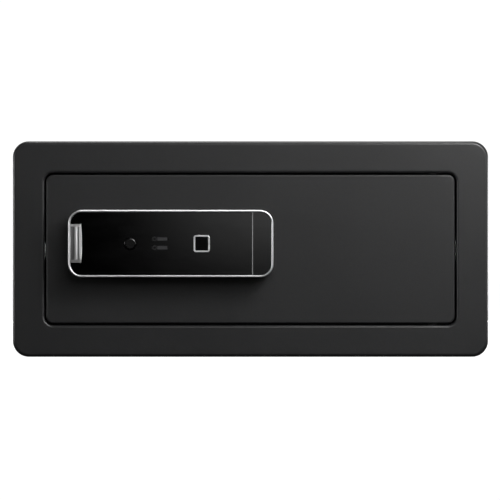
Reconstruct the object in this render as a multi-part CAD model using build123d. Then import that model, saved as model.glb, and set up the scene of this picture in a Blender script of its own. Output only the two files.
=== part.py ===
"""Low, wide steel safe with a motor-driven double bolt, a fingerprint lock panel and a key override.

Millimetres. +X is to the right of someone facing the door, +Y runs from the door to the back and +Z is up.
The origin is the centre of the underside. A depth is measured from the front face of the cabinet towards
the back, so what stands out of the front has a negative depth.
"""

from build123d import *
import os
from math import atan, cos, pi, radians, sin, sqrt, tan

# ---- driving dimensions -------------------------------------------------------------------------
BODY_W = 430.0
BODY_H = 195.0
BODY_D = 338.0
PANEL_STAND_OUT = 32.0        # how far the lock panel stands out of the front face
SHEET = 2.0                   # cabinet steel
FRAME_BORDER = 28.85          # width of the front frame, from the outside to the door opening
DOOR_GAP = 1.5                # running gap all round the door
BOLT_THROW = 16.0
MID_Z = BODY_H / 2
FRONT_Y = -BODY_D / 2

# ---- cabinet ------------------------------------------------------------------------------------
CORNER_R = 14.5
FRONT_EDGE_R = 3.0
SKIRT = 12.0                  # depth of the front frame's outer skirt
JAMB = 20.0                   # depth of the door jamb
OPEN_W = BODY_W - 2 * FRAME_BORDER
OPEN_H = BODY_H - 2 * FRAME_BORDER
OPEN_R = 7.8
LIP_R = 2.4                   # rounding of the frame where it turns in to the jamb
LIP_END = 2.6                 # depth where the lip meets the jamb's band
ANCHOR_R = 5.0
ANCHOR_X = 130.0              # half the spacing of the anchor holes
ANCHOR_Y = 90.0
MAT_T = 2.6
MAT_HOLE_R = 9.0

# ---- door ---------------------------------------------------------------------------------------
DOOR_W = OPEN_W - 2 * DOOR_GAP
DOOR_H = OPEN_H - 2 * DOOR_GAP
DOOR_R = OPEN_R - DOOR_GAP
DOOR_T = 4.0                  # front plate
DOOR_WALL = 2.5               # turned-in edge of the door
PAN_D = 14.0                  # depth of the turned-in edge
DOOR_EDGE_R = 1.3

# ---- door stops ---------------------------------------------------------------------------------
STOP_Z = 54.0                 # stops lie this far above and below the middle
STOP_HALF = 6.0
STOP_NEAR = PAN_D + 0.1
STOP_FAR = STOP_NEAR + 2.0

# ---- hinge --------------------------------------------------------------------------------------
PIVOT_X = DOOR_W / 2 - 20.0
PIVOT_DEPTH = 7.5
PIN_R = 3.0
RUNNING = 0.05                # radial clearance of a turning or sliding fit
BUSH_R = 4.5
BRACKET_H = 6.0

# ---- lock case on the inside of the door --------------------------------------------------------
CASE_LEFT = -DOOR_W / 2 + 12.0
CASE_RIGHT = 150.0
CASE_W = CASE_RIGHT - CASE_LEFT
CASE_X = (CASE_LEFT + CASE_RIGHT) / 2
CASE_H = 116.0
CASE_WALL = 1.5
CASE_D = 42.0                 # depth of the case's open back
COVER_T = 2.0
COVER_LAP = 2.0

# ---- bolts and carriage -------------------------------------------------------------------------
BOLT_R = 8.0
BOLT_DEPTH = 30.0
BOLT_Z = 35.0                 # bolts lie this far above and below the middle
GUIDE_HALF = 11.5             # half the height of a bolt guide
BOLT_TIP = -DOOR_W / 2 + 5.3
FLANGE_X = -123.0             # outer face of the carriage's flange
CARRIAGE_T = 3.0
CARRIAGE_NEAR = 37.0          # depth of the carriage plate's front face
CARRIAGE_FAR = CARRIAGE_NEAR + CARRIAGE_T
POSTS = [(-112.0, 20.0), (-112.0, -20.0), (-25.0, 13.0)]     # x, and height above the middle
SHOULDER_R = 3.0

# ---- rack and pinion ----------------------------------------------------------------------------
MODULE = 1.0
TEETH = 16
PRESSURE = radians(20.0)
PITCH_R = MODULE * TEETH / 2
RACK_PITCH_DEPTH = 32.5
BACKLASH = 0.12
GEAR_W = 8.0
GEAR_BASE = -6.0              # lower face of the pinion, from the middle
MOTOR_X = -60.0
MOTOR_DEPTH = RACK_PITCH_DEPTH - PITCH_R - 0.05
MOTOR_R = 8.0
SHAFT_R = 2.5
MOTOR_TOP = MID_Z + GEAR_BASE - 3.0
BRACKET_T = 2.0

# ---- lock panel on the outside of the door ------------------------------------------------------
PANEL_W = 184.6
PANEL_H = 60.6
PANEL_R = 12.0
PANEL_X = -71.6
PANEL_Z = MID_Z + 4.8
RIM = 2.1                     # width of the bright bezel
RIM_D = 4.0
DECK = -PANEL_STAND_OUT + 2.4 # depth of the surface under the glass
GLASS_FRONT = -PANEL_STAND_OUT + 0.4
GASKET_T = 1.0
HOUSING_WALL = 3.0
DECK_BACK = -26.0
WINDOW_W = PANEL_W - 2 * RIM
WINDOW_H = PANEL_H - 2 * RIM
WINDOW_R = PANEL_R - RIM
FIT = 0.15                    # clearance round the pieces let into the panel
STRIP_X = 1.9
STRIP_W = 0.6
BUTTON_X = -108.2
BUTTON_R = 5.75
BUTTON_TRAVEL = 0.8
LENS_X = -81.4
LENS_W = 15.4
LENS_H = 4.6
LENS_Z = [4.3, -3.6]          # from the middle of the panel
SENSOR_X = -43.8
SENSOR_W = 14.6
SENSOR_H = 15.4
SENSOR_BAND = 1.5
PULL_LEFT = PANEL_X - WINDOW_W / 2 + FIT
PULL_W = 9.6
PULL_H = 34.6
PULL_Z = PANEL_Z + 0.3
PULL_BULGE = 0.8
BOSS_X = 81.0                 # screw bosses, from the middle of the panel
BOSS_Z = 20.5
HOUSING_SCREWS = [(PANEL_X + sx * BOSS_X, PANEL_Z + sz * BOSS_Z) for sx in (-1, 1) for sz in (-1, 1)]
CABLE_HOLE = (-12.0, MID_Z - 14.0)
KEYPAD_NEAR = -18.0
BOARD_T = 1.6

# ---- key override -------------------------------------------------------------------------------
KEY_X = 10.4
PRONG_Z = 12.0                # the end cap's snap prongs lie this far above and below the cylinder
BARREL_R = 7.0
BARREL_FRONT = -27.0
BARREL_BACK = 14.0
PLUG_R = 5.0
TAIL_R = 3.0
CAM_NEAR = 27.0
CAM_T = 3.0
CAM_LENGTH = 20.0
CAM_HALF_W = 3.5
CAM_PARKED = -45.0            # degrees from upright, towards the hinge side when positive
LUG_X = KEY_X + (CAM_LENGTH - CAM_HALF_W) * sin(radians(45)) + CAM_HALF_W + 0.2

# ---- electronics --------------------------------------------------------------------------------
BOARD_X = 56.0
BOARD_W = 36.0
BOARD_H = 92.0
BOARD_NEAR = 12.0
RESET_Z = 30.0
RESET_TRAVEL = 1.0
BATTERY_X = 112.0
BAY_W = 59.0
BAY_H = 65.0
BAY_NEAR = 24.0
BAY_WALL = 2.0
BAY_FLANGE = 2.0
CELL_R = 7.1
CELL_L = 49.2
CELL_PITCH = 15.2
CELL_COUNT = 4
CELL_DEPTH = BAY_NEAR + 1.5 + CELL_R + 0.3
BAY_FACE = CASE_D + COVER_T - 0.1
INNER_W = BAY_W - 2 * BAY_WALL
INNER_H = BAY_H - 2 * BAY_WALL


# ---- helpers ------------------------------------------------------------------------------------
def facing(x, z, depth):
    """A plane parallel to the front face, at a depth behind it, whose normal points out of the front."""
    return Plane(origin=(x, FRONT_Y + depth, z), x_dir=(1, 0, 0), z_dir=(0, -1, 0))


def slab(sketch, near, far, x=0.0, z=MID_Z):
    """A flat outline, seen from the front, made solid from depth near to depth far."""
    return extrude(facing(x, z, far) * sketch, far - near)


def rod(radius, near, far, x, z):
    """A round bar that runs from front to back."""
    return slab(Circle(radius), near, far, x, z)


def post(radius, low, high, x, depth):
    """A round bar that stands upright."""
    return Pos(x, FRONT_Y + depth, (low + high) / 2) * Cylinder(radius, high - low)


def bar(radius, left, right, depth, z):
    """A round bar that runs from left to right."""
    return Pos((left + right) / 2, FRONT_Y + depth, z) * Rot(0, 90, 0) * Cylinder(radius, right - left)


def block(left, right, near, far, low, high):
    """A box given by its sides."""
    middle = Pos((left + right) / 2, FRONT_Y + (near + far) / 2, (low + high) / 2)
    return middle * Box(right - left, far - near, high - low)


def front_edges(part, half_w, half_h, x=0.0, z=MID_Z):
    """The edges in the part's frontmost plane that lie within a rectangle about (x, z)."""
    found = part.edges().group_by(Axis.Y)[0]
    return [e for e in found if abs(e.center().X - x) < half_w and abs(e.center().Z - z) < half_h]


# ---- cabinet ------------------------------------------------------------------------------------
def front_frame():
    """Pressed face of the cabinet, with its outer skirt and the rounded lip that turns in to the jamb."""
    frame = slab(RectangleRounded(BODY_W, BODY_H, CORNER_R), 0, SKIRT)
    frame = fillet(frame.edges().group_by(Axis.Y)[0], FRONT_EDGE_R)
    hollow = RectangleRounded(BODY_W - 2 * SHEET, BODY_H - 2 * SHEET, CORNER_R - SHEET)
    frame -= slab(hollow, SHEET, SKIRT)
    frame += slab(RectangleRounded(OPEN_W + 2 * SHEET, OPEN_H + 2 * SHEET, OPEN_R + SHEET), 1, LIP_END)
    frame -= slab(RectangleRounded(OPEN_W, OPEN_H, OPEN_R), -1, LIP_END + 1)
    return fillet(front_edges(frame, OPEN_W / 2 + 1, OPEN_H / 2 + 1), LIP_R)


def door_jamb():
    """Band welded behind the lip, all round the door opening."""
    outside = RectangleRounded(OPEN_W + 2 * SHEET, OPEN_H + 2 * SHEET, OPEN_R + SHEET)
    jamb = slab(outside - RectangleRounded(OPEN_W, OPEN_H, OPEN_R), LIP_END, JAMB)
    return jamb - post(BUSH_R, 0, BODY_H, PIVOT_X, PIVOT_DEPTH)


def body_wrap():
    outside = RectangleRounded(BODY_W, BODY_H, CORNER_R)
    inside = RectangleRounded(BODY_W - 2 * SHEET, BODY_H - 2 * SHEET, CORNER_R - SHEET)
    wrap = slab(outside - inside, SKIRT, BODY_D - SHEET)
    for x in (-ANCHOR_X, ANCHOR_X):
        for y in (-ANCHOR_Y, ANCHOR_Y):
            wrap -= post(ANCHOR_R, -1, SHEET + 1, x, y - FRONT_Y)
    return wrap


def back_panel():
    panel = slab(RectangleRounded(BODY_W, BODY_H, CORNER_R), BODY_D - SHEET, BODY_D)
    panel = fillet(panel.edges().group_by(Axis.Y)[-1], 1.0)
    for x in (-ANCHOR_X, ANCHOR_X):
        panel -= rod(ANCHOR_R, BODY_D - SHEET - 1, BODY_D + 1, x, MID_Z)
    return panel


def floor_mat():
    width, near, far = BODY_W - 32, JAMB + 4, BODY_D - 6
    middle = Pos(0, FRONT_Y + (near + far) / 2, SHEET)
    mat = extrude(middle * RectangleRounded(width, far - near, 8), MAT_T)
    for x in (-ANCHOR_X, ANCHOR_X):
        for y in (-ANCHOR_Y, ANCHOR_Y):
            mat -= post(MAT_HOLE_R, SHEET - 1, SHEET + MAT_T + 1, x, y - FRONT_Y)
    return mat


def hinge_heights(side):
    """Door edge, jamb face and outside of the hinge bracket, for the upper (1) or lower (-1) hinge."""
    return [MID_Z + side * h for h in (DOOR_H / 2, OPEN_H / 2, OPEN_H / 2 + SHEET + BRACKET_H)]


def hinge_brackets():
    pieces = []
    for side in (1, -1):
        _, jamb, outside = hinge_heights(side)
        low, high = sorted((jamb + side * SHEET, outside))
        bracket = block(PIVOT_X - 12, PIVOT_X + 12, SHEET, PIVOT_DEPTH + 7, low, high)
        pieces.append(bracket - post(BUSH_R, low - 1, high + 1, PIVOT_X, PIVOT_DEPTH))
    return Compound(children=pieces)


def hinge_bushings():
    """Flanged plastic bushes. The lower one's flange is thicker and carries the door."""
    pieces = []
    for side, flange in ((1, 1.0), (-1, DOOR_GAP - 0.2)):
        _, jamb, outside = hinge_heights(side)
        bush = post(BUSH_R, *sorted((jamb, outside)), PIVOT_X, PIVOT_DEPTH)
        bush += post(BUSH_R + 1.5, *sorted((jamb, jamb - side * flange)), PIVOT_X, PIVOT_DEPTH)
        pieces.append(bush - post(PIN_R + RUNNING, 0, BODY_H, PIVOT_X, PIVOT_DEPTH))
    return Compound(children=pieces)


def strike_bar():
    left, right = -BODY_W / 2 + SHEET, -OPEN_W / 2 - SHEET
    return block(left + 0.1, right, JAMB - 4, JAMB, MID_Z - 55, MID_Z + 55)


def door_stops():
    left = -OPEN_W / 2
    return Compound(children=[
        block(left, left + 9, STOP_FAR, STOP_FAR + 2, MID_Z + side * STOP_Z - STOP_HALF,
              MID_Z + side * STOP_Z + STOP_HALF)
        for side in (1, -1)
    ])


def stop_buffers():
    left = -OPEN_W / 2
    return Compound(children=[
        block(left + 0.5, left + 8, STOP_NEAR, STOP_FAR, MID_Z + side * STOP_Z - STOP_HALF + 1,
              MID_Z + side * STOP_Z + STOP_HALF - 1)
        for side in (1, -1)
    ])


# ---- door ---------------------------------------------------------------------------------------
def door_panel():
    door = slab(RectangleRounded(DOOR_W, DOOR_H, DOOR_R), 0, PAN_D)
    door = fillet(door.edges().group_by(Axis.Y)[0], DOOR_EDGE_R)
    inside = RectangleRounded(DOOR_W - 2 * DOOR_WALL, DOOR_H - 2 * DOOR_WALL, DOOR_R - DOOR_WALL)
    door -= slab(inside, DOOR_T, PAN_D)
    door -= post(PIN_R, 0, BODY_H, PIVOT_X, PIVOT_DEPTH)
    door -= rod(BARREL_R + 0.1, -1, DOOR_T + 1, KEY_X, PANEL_Z)
    door -= rod(5.0, -1, DOOR_T + 1, *CABLE_HOLE)
    for x, z in HOUSING_SCREWS:
        door -= rod(2.2, -1, DOOR_T + 1, x, z)
    return door


def hinge_blocks():
    pieces = []
    for side in (1, -1):
        edge, _, _ = hinge_heights(side)
        low, high = sorted((edge - side * DOOR_WALL, edge - side * (DOOR_WALL + 12)))
        pivot_block = block(PIVOT_X - 8, PIVOT_X + 8, DOOR_T, PAN_D - 1, low, high)
        pieces.append(pivot_block - post(PIN_R, low - 1, high + 1, PIVOT_X, PIVOT_DEPTH))
    return Compound(children=pieces)


def hinge_pins():
    pieces = []
    for side in (1, -1):
        edge, _, outside = hinge_heights(side)
        pin = post(PIN_R, *sorted((edge - side * (DOOR_WALL + 12), outside)), PIVOT_X, PIVOT_DEPTH)
        pieces.append(chamfer(pin.edges().filter_by(GeomType.CIRCLE), 0.5))
    return Compound(children=pieces)


def cover_screw_places():
    """Six screws: the four corners of the lock case, and the middles of its long sides."""
    return [(CASE_X + sx * (CASE_W / 2 - 9), MID_Z + sz * (CASE_H / 2 - 9))
            for sx in (-1, 0, 1) for sz in (-1, 1)]


def bolt_heights():
    return [MID_Z + BOLT_Z, MID_Z - BOLT_Z]


def lock_case():
    """Folded box on the inside of the door. Its left end is open where the bolt guides stand."""
    outside = RectangleRounded(CASE_W, CASE_H, 3.0)
    inside = RectangleRounded(CASE_W - 2 * CASE_WALL, CASE_H - 2 * CASE_WALL, 3.0 - CASE_WALL)
    case = slab(outside - inside, DOOR_T, CASE_D, CASE_X)
    for x, z in cover_screw_places():
        edge = MID_Z + (CASE_H / 2 - CASE_WALL) * (1 if z > MID_Z else -1)
        inner = z - 5 if z > MID_Z else z + 5
        case += block(x - 6, x + 6, CASE_D - 1.5, CASE_D, *sorted((edge, inner)))
        case -= rod(1.5, CASE_D - 3, CASE_D + 1, x, z)
    reach = BOLT_Z + GUIDE_HALF
    return case - block(CASE_LEFT - 1, CASE_LEFT + 3, 0, CASE_D + 1, MID_Z - reach, MID_Z + reach)


def case_end_plate():
    """Closes the left end of the lock case between the two bolt guides."""
    reach = BOLT_Z - GUIDE_HALF
    return block(CASE_LEFT, CASE_LEFT + CASE_WALL, DOOR_T, CASE_D, MID_Z - reach, MID_Z + reach)


def inner_cover():
    cover = slab(RectangleRounded(CASE_W + 2 * COVER_LAP, CASE_H + 2 * COVER_LAP, 5.0),
                 CASE_D, CASE_D + COVER_T, CASE_X)
    cover = fillet(cover.edges().group_by(Axis.Y)[-1], 0.9)
    cover -= slab(RectangleRounded(BAY_W, BAY_H, 3.0), CASE_D - 1, CASE_D + COVER_T + 1, BATTERY_X)
    cover -= rod(3.2, CASE_D - 1, CASE_D + COVER_T + 1, BOARD_X, MID_Z + RESET_Z)
    for x, z in cover_screw_places():
        cover -= rod(1.7, CASE_D - 1, CASE_D + COVER_T + 1, x, z)
    return cover


def cross_recess(x, z, depth, into, size):
    """The cross that a screwdriver goes into, cut from depth towards into."""
    near, far = sorted((depth, into))
    return [slab(Rectangle(size, size / 4), near, far, x, z), slab(Rectangle(size / 4, size), near, far, x, z)]


def screw(x, z, seat, tip, head_r, shank_r, head_h):
    """A pan-head screw. Its head lies on the depth seat, and its shank runs to the depth tip."""
    out = 1 if seat > tip else -1
    top = seat + out * head_h
    head = rod(head_r, *sorted((seat, top)), x, z)
    rim = [e for e in head.edges() if abs(e.center().Y - FRONT_Y - top) < 0.01]
    head = fillet(rim, head_h * 0.45)
    for cut in cross_recess(x, z, top + out, top - out * head_h * 0.5, head_r * 1.1):
        head -= cut
    return head + rod(shank_r, *sorted((seat, tip)), x, z)


def inner_cover_screws():
    seat = CASE_D + COVER_T
    return Compound(children=[screw(x, z, seat, CASE_D - 4, 3.0, 1.45, 1.6) for x, z in cover_screw_places()])


# ---- lock panel ---------------------------------------------------------------------------------
def panel_gasket():
    gasket = slab(RectangleRounded(PANEL_W - 1.2, PANEL_H - 1.2, PANEL_R - 0.6), -GASKET_T, 0, PANEL_X, PANEL_Z)
    gasket -= slab(RectangleRounded(PANEL_W - 6, PANEL_H - 6, PANEL_R - 3), -2, 1, PANEL_X, PANEL_Z)
    return gasket


def pull_outline(extra=0.0):
    """The finger grip seen from the front: square at the bezel and bowed out on the other side."""
    half_w, half_h = PULL_W / 2 + extra, PULL_H / 2 + extra
    outline = [
        Line((half_w, half_h), (-half_w, half_h)),
        Line((-half_w, half_h), (-half_w, -half_h)),
        Line((-half_w, -half_h), (half_w, -half_h)),
        ThreePointArc((half_w, -half_h), (half_w + PULL_BULGE, 0), (half_w, half_h)),
    ]
    return make_face(Wire(outline))


def panel_housing():
    block_shape = RectangleRounded(PANEL_W, PANEL_H, PANEL_R)
    housing = slab(block_shape, -PANEL_STAND_OUT + RIM_D, -GASKET_T, PANEL_X, PANEL_Z)
    plateau = RectangleRounded(WINDOW_W - 2 * FIT, WINDOW_H - 2 * FIT, WINDOW_R - FIT)
    housing += slab(plateau, DECK, -PANEL_STAND_OUT + RIM_D, PANEL_X, PANEL_Z)
    pocket = RectangleRounded(PANEL_W - 2 * HOUSING_WALL, PANEL_H - 2 * HOUSING_WALL, PANEL_R - HOUSING_WALL)
    housing -= slab(pocket, DECK_BACK, 0, PANEL_X, PANEL_Z)
    for x, z in HOUSING_SCREWS:
        housing += rod(4.0, DECK_BACK - 1, -GASKET_T, x, z)
        housing -= rod(1.95, -14, 0, x, z)
    housing -= rod(BUTTON_R + FIT, DECK - 1, DECK_BACK + 1, BUTTON_X, PANEL_Z)
    housing -= rod(BARREL_R + FIT, DECK - 1, DECK_BACK + 1, KEY_X, PANEL_Z)
    inner = Rectangle(SENSOR_W - 2 * SENSOR_BAND, SENSOR_H - 2 * SENSOR_BAND)
    housing -= slab(inner, DECK - 1, DECK_BACK + 1, SENSOR_X, PANEL_Z)
    housing -= slab(pull_outline(FIT), DECK - 1, DECK + 2.4, PULL_LEFT + PULL_W / 2, PULL_Z)
    for side in (1, -1):
        z = PANEL_Z + side * PRONG_Z
        housing -= block(KEY_X - 3.3, KEY_X + 3.3, DECK - 1, DECK_BACK + 1, z - 1.4, z + 1.4)
    return housing


def chrome_bezel():
    ring = RectangleRounded(PANEL_W, PANEL_H, PANEL_R) - RectangleRounded(WINDOW_W, WINDOW_H, WINDOW_R)
    bezel = slab(ring, -PANEL_STAND_OUT, -PANEL_STAND_OUT + RIM_D, PANEL_X, PANEL_Z)
    return fillet(bezel.edges().group_by(Axis.Y)[0], RIM * 0.42)


def window_part(left, right, near, far):
    """The part of the bezel's window between two upright cuts."""
    whole = RectangleRounded(WINDOW_W - 2 * FIT, WINDOW_H - 2 * FIT, WINDOW_R - FIT)
    keep = block(left, right, near - 1, far + 1, MID_Z - PANEL_H, MID_Z + PANEL_H)
    return slab(whole, near, far, PANEL_X, PANEL_Z) & keep


def touch_glass():
    glass = window_part(PANEL_X - PANEL_W, STRIP_X - STRIP_W / 2, GLASS_FRONT, DECK)
    glass -= rod(BUTTON_R + FIT, GLASS_FRONT - 1, DECK + 1, BUTTON_X, PANEL_Z)
    glass -= slab(RectangleRounded(SENSOR_W + FIT, SENSOR_H + FIT, 2.3), GLASS_FRONT - 1, DECK + 1,
                  SENSOR_X, PANEL_Z)
    for z in LENS_Z:
        glass -= slab(SlotOverall(LENS_W, LENS_H), GLASS_FRONT - 1, DECK + 1, LENS_X, PANEL_Z + z)
    return glass - slab(pull_outline(FIT), GLASS_FRONT - 1, DECK + 1, PULL_LEFT + PULL_W / 2, PULL_Z)


def divider_strip():
    half = WINDOW_H / 2 - FIT
    return block(STRIP_X - STRIP_W / 2, STRIP_X + STRIP_W / 2, GLASS_FRONT - 0.05, DECK,
                 PANEL_Z - half, PANEL_Z + half)


def end_cap():
    """Blank cover over the key cylinder, with two snap prongs."""
    left = STRIP_X + STRIP_W / 2 + 0.1
    cap = window_part(left, PANEL_X + PANEL_W, GLASS_FRONT, DECK)
    for side in (1, -1):
        z = PANEL_Z + side * PRONG_Z
        cap += block(KEY_X - 3, KEY_X + 3, DECK - 0.5, DECK_BACK + 1.2, z - 0.6, z + 0.6)
        cap += block(KEY_X - 3, KEY_X + 3, DECK_BACK + 0.1, DECK_BACK + 1.2, z - 1.2, z + 1.2)
    return cap


def finger_pull():
    """Bright finger grip let into the bezel end of the panel: an upright rib in a pocket, and a raised outer edge."""
    x = PULL_LEFT + PULL_W / 2
    front = -PANEL_STAND_OUT + 0.1
    low, high = PULL_Z - PULL_H / 2 + 3.4, PULL_Z + PULL_H / 2 - 1.8
    grip = slab(pull_outline(), front, DECK + 2.2, x, PULL_Z)
    grip = fillet([e for e in grip.edges().group_by(Axis.Y)[0] if e.center().X > x + PULL_W / 2 - 0.2], 0.9)
    grip -= block(PULL_LEFT + 0.5, PULL_LEFT + 3.4, front - 1, front + 1.8, low, high)
    grip -= post(2.6, low, high, PULL_LEFT + 6.9, front - 1.7)
    rib = post(1.5, low, high, PULL_LEFT + 4.6, front + 1.5)
    return grip + rib


def sensor_frame():
    ring = RectangleRounded(SENSOR_W, SENSOR_H, 2.2)
    ring -= RectangleRounded(SENSOR_W - 2 * SENSOR_BAND, SENSOR_H - 2 * SENSOR_BAND, 0.9)
    frame = slab(ring, -PANEL_STAND_OUT + 0.1, DECK, SENSOR_X, PANEL_Z)
    return fillet(frame.edges().group_by(Axis.Y)[0], 0.3)


def fingerprint_sensor():
    w, h = SENSOR_W - 2 * SENSOR_BAND - 0.2, SENSOR_H - 2 * SENSOR_BAND - 0.2
    pad = slab(RectangleRounded(w, h, 0.8), -PANEL_STAND_OUT + 0.7, DECK_BACK + 2, SENSOR_X, PANEL_Z)
    return fillet(pad.edges().group_by(Axis.Y)[0], 0.3)


def status_lenses():
    return Compound(children=[
        slab(SlotOverall(LENS_W - 0.1, LENS_H - 0.1), GLASS_FRONT - 0.05, DECK, LENS_X, PANEL_Z + z)
        for z in LENS_Z
    ])


def keypad_board():
    left, right = PANEL_X - 70, -4.0
    board = block(left, right, KEYPAD_NEAR, KEYPAD_NEAR + BOARD_T, PANEL_Z - 23, PANEL_Z + 23)
    for x in (left + 10, right - 8):
        board -= rod(1.6, KEYPAD_NEAR - 1, KEYPAD_NEAR + 3, x, PANEL_Z + 18)
    return board


def keypad_components():
    near, far = KEYPAD_NEAR, KEYPAD_NEAR + BOARD_T
    switch_body = block(BUTTON_X - 3, BUTTON_X + 3, near - 3.5, near, PANEL_Z - 3, PANEL_Z + 3)
    switch_body += rod(1.7, near - 4.2, near - 3, BUTTON_X, PANEL_Z)
    leds = [rod(2.5, near - 5, near, LENS_X + dx, PANEL_Z + z) for z in LENS_Z for dx in (-4, 4)]
    chip = block(-68, -56, far, far + 1.6, PANEL_Z - 6, PANEL_Z + 6)
    x, z = CABLE_HOLE
    header = block(x - 5, x + 5, far, far + 4, z - 4, z + 4)
    return Compound(children=[switch_body, *leds, chip, header])


def housing_screws():
    return Compound(children=[screw(x, z, DOOR_T, -12, 3.8, 1.9, 2.4) for x, z in HOUSING_SCREWS])


def wake_button():
    front = GLASS_FRONT - 0.35
    button = rod(BUTTON_R, front, DECK_BACK + 0.1, BUTTON_X, PANEL_Z)
    button = fillet(button.edges().group_by(Axis.Y)[0], 1.7)
    button += rod(BUTTON_R + 1.4, DECK_BACK + 0.1, DECK_BACK + 1.1, BUTTON_X, PANEL_Z)
    return button + rod(2.0, DECK_BACK + 1, KEYPAD_NEAR - 4.2 - 0.9, BUTTON_X, PANEL_Z)


# ---- key override -------------------------------------------------------------------------------
def key_cylinder():
    barrel = rod(BARREL_R, BARREL_FRONT, BARREL_BACK, KEY_X, PANEL_Z)
    barrel = chamfer(barrel.edges().group_by(Axis.Y)[0], 0.6)
    barrel -= rod(PLUG_R + RUNNING, BARREL_FRONT - 1, BARREL_BACK - 3, KEY_X, PANEL_Z)
    return barrel - rod(TAIL_R + RUNNING, BARREL_BACK - 4, BARREL_BACK + 1, KEY_X, PANEL_Z)


def cylinder_nut():
    nut = slab(RegularPolygon(11.0, 6), DOOR_T, DOOR_T + 4, KEY_X, PANEL_Z)
    return nut - rod(BARREL_R + 0.02, DOOR_T - 1, DOOR_T + 5, KEY_X, PANEL_Z)


def key_plug():
    plug = rod(PLUG_R, BARREL_FRONT + 0.2, BARREL_BACK - 3.1, KEY_X, PANEL_Z)
    plug += rod(TAIL_R, BARREL_BACK - 3.1, CAM_NEAR + CAM_T, KEY_X, PANEL_Z)
    plug -= slab(Rectangle(1.6, 7.4), BARREL_FRONT - 1, BARREL_FRONT + 22, KEY_X, PANEL_Z)
    return plug - rod(1.4, CAM_NEAR - 6, CAM_NEAR + CAM_T + 1, KEY_X, PANEL_Z)


def cam_arm():
    hub = Circle(6.0) - Circle(TAIL_R)
    reach = CAM_LENGTH - CAM_HALF_W
    arm = Pos(0, reach / 2) * Rectangle(2 * CAM_HALF_W, reach) + Pos(0, reach) * Circle(CAM_HALF_W)
    outline = Rot(0, 0, -CAM_PARKED) * (hub + (arm - Circle(TAIL_R)))
    return slab(outline, CAM_NEAR, CAM_NEAR + CAM_T, KEY_X, PANEL_Z)


def cam_screw():
    return screw(KEY_X, PANEL_Z, CAM_NEAR + CAM_T, CAM_NEAR - 5, 4.2, 1.4, 2.2)


# ---- bolts and drive ----------------------------------------------------------------------------
def locking_bolts():
    pieces = []
    for z in bolt_heights():
        bolt = bar(BOLT_R, BOLT_TIP, FLANGE_X, BOLT_DEPTH, z)
        bolt = chamfer(bolt.edges().group_by(Axis.X)[0], 1.5)
        pieces.append(bolt + bar(4.0, FLANGE_X, FLANGE_X + CARRIAGE_T + 7, BOLT_DEPTH, z))
    return Compound(children=pieces)


def bolt_nuts():
    left = FLANGE_X + CARRIAGE_T
    pieces = []
    for z in bolt_heights():
        hexagon = Plane(origin=(left, FRONT_Y + BOLT_DEPTH, z), z_dir=(1, 0, 0)) * RegularPolygon(7.5, 6)
        pieces.append(extrude(hexagon, 5.5) - bar(4.0, left - 1, left + 7, BOLT_DEPTH, z))
    return Compound(children=pieces)


def bolt_guides():
    """Moulded blocks that fill the lock case's left end and carry the bolts."""
    pieces = []
    for z in bolt_heights():
        guide = block(CASE_LEFT - 1.5, CASE_LEFT + 13, DOOR_T, CASE_D - 1.6, z - GUIDE_HALF + 0.1,
                      z + GUIDE_HALF - 0.1)
        guide = fillet(guide.edges().filter_by(Axis.Z), 1.0)
        guide += bar(BOLT_R + 2.5, CASE_LEFT - 3, CASE_LEFT, BOLT_DEPTH, z)
        pieces.append(guide - bar(BOLT_R + RUNNING, CASE_LEFT - 4, CASE_LEFT + 14, BOLT_DEPTH, z))
    return Compound(children=pieces)


def bolt_carriage():
    """Bent plate that carries both bolts, slotted for the guide screws, with a lug for the key cam."""
    tall = block(FLANGE_X, -85, CARRIAGE_NEAR, CARRIAGE_FAR, MID_Z - 44, MID_Z + 44)
    arm = block(-86, LUG_X + 8, CARRIAGE_NEAR, CARRIAGE_FAR, MID_Z - 10, MID_Z + 24)
    flange = block(FLANGE_X, FLANGE_X + CARRIAGE_T, BOLT_DEPTH - 9, CARRIAGE_FAR, MID_Z - 44, MID_Z + 44)
    lug = block(LUG_X, LUG_X + CARRIAGE_T, CAM_NEAR - 1, CARRIAGE_NEAR + 1, PANEL_Z + 7.4, PANEL_Z + 16.4)
    carriage = tall + arm + flange + lug
    for z in bolt_heights():
        carriage -= bar(4.0, FLANGE_X - 1, FLANGE_X + 5, BOLT_DEPTH, z)
    slot = SlotCenterToCenter(BOLT_THROW + 1, 2 * (SHOULDER_R + 0.1))
    for x, z in POSTS:
        carriage -= slab(slot, CARRIAGE_NEAR - 1, CARRIAGE_FAR + 1, x + BOLT_THROW / 2, MID_Z + z)
    return carriage


def guide_posts():
    """Standoffs on the door, each with a shoulder that runs in a slot of the carriage."""
    pieces = []
    for x, z in POSTS:
        standoff = rod(5.0, DOOR_T, CARRIAGE_NEAR - 0.2, x, MID_Z + z)
        pieces.append(standoff + rod(SHOULDER_R, CARRIAGE_NEAR - 1, CARRIAGE_FAR + 0.2, x, MID_Z + z))
    return Compound(children=pieces)


def guide_washers():
    return Compound(children=[
        rod(6.0, CARRIAGE_FAR + 0.2, CARRIAGE_FAR + 1.6, x, MID_Z + z) for x, z in POSTS
    ])


# ---- rack, pinion and motor ---------------------------------------------------------------------
def involute(radius, base_r):
    """The polar angle an involute has swept where it reaches a radius."""
    roll = sqrt(max((radius / base_r) ** 2 - 1, 0))
    return roll - atan(roll)


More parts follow.
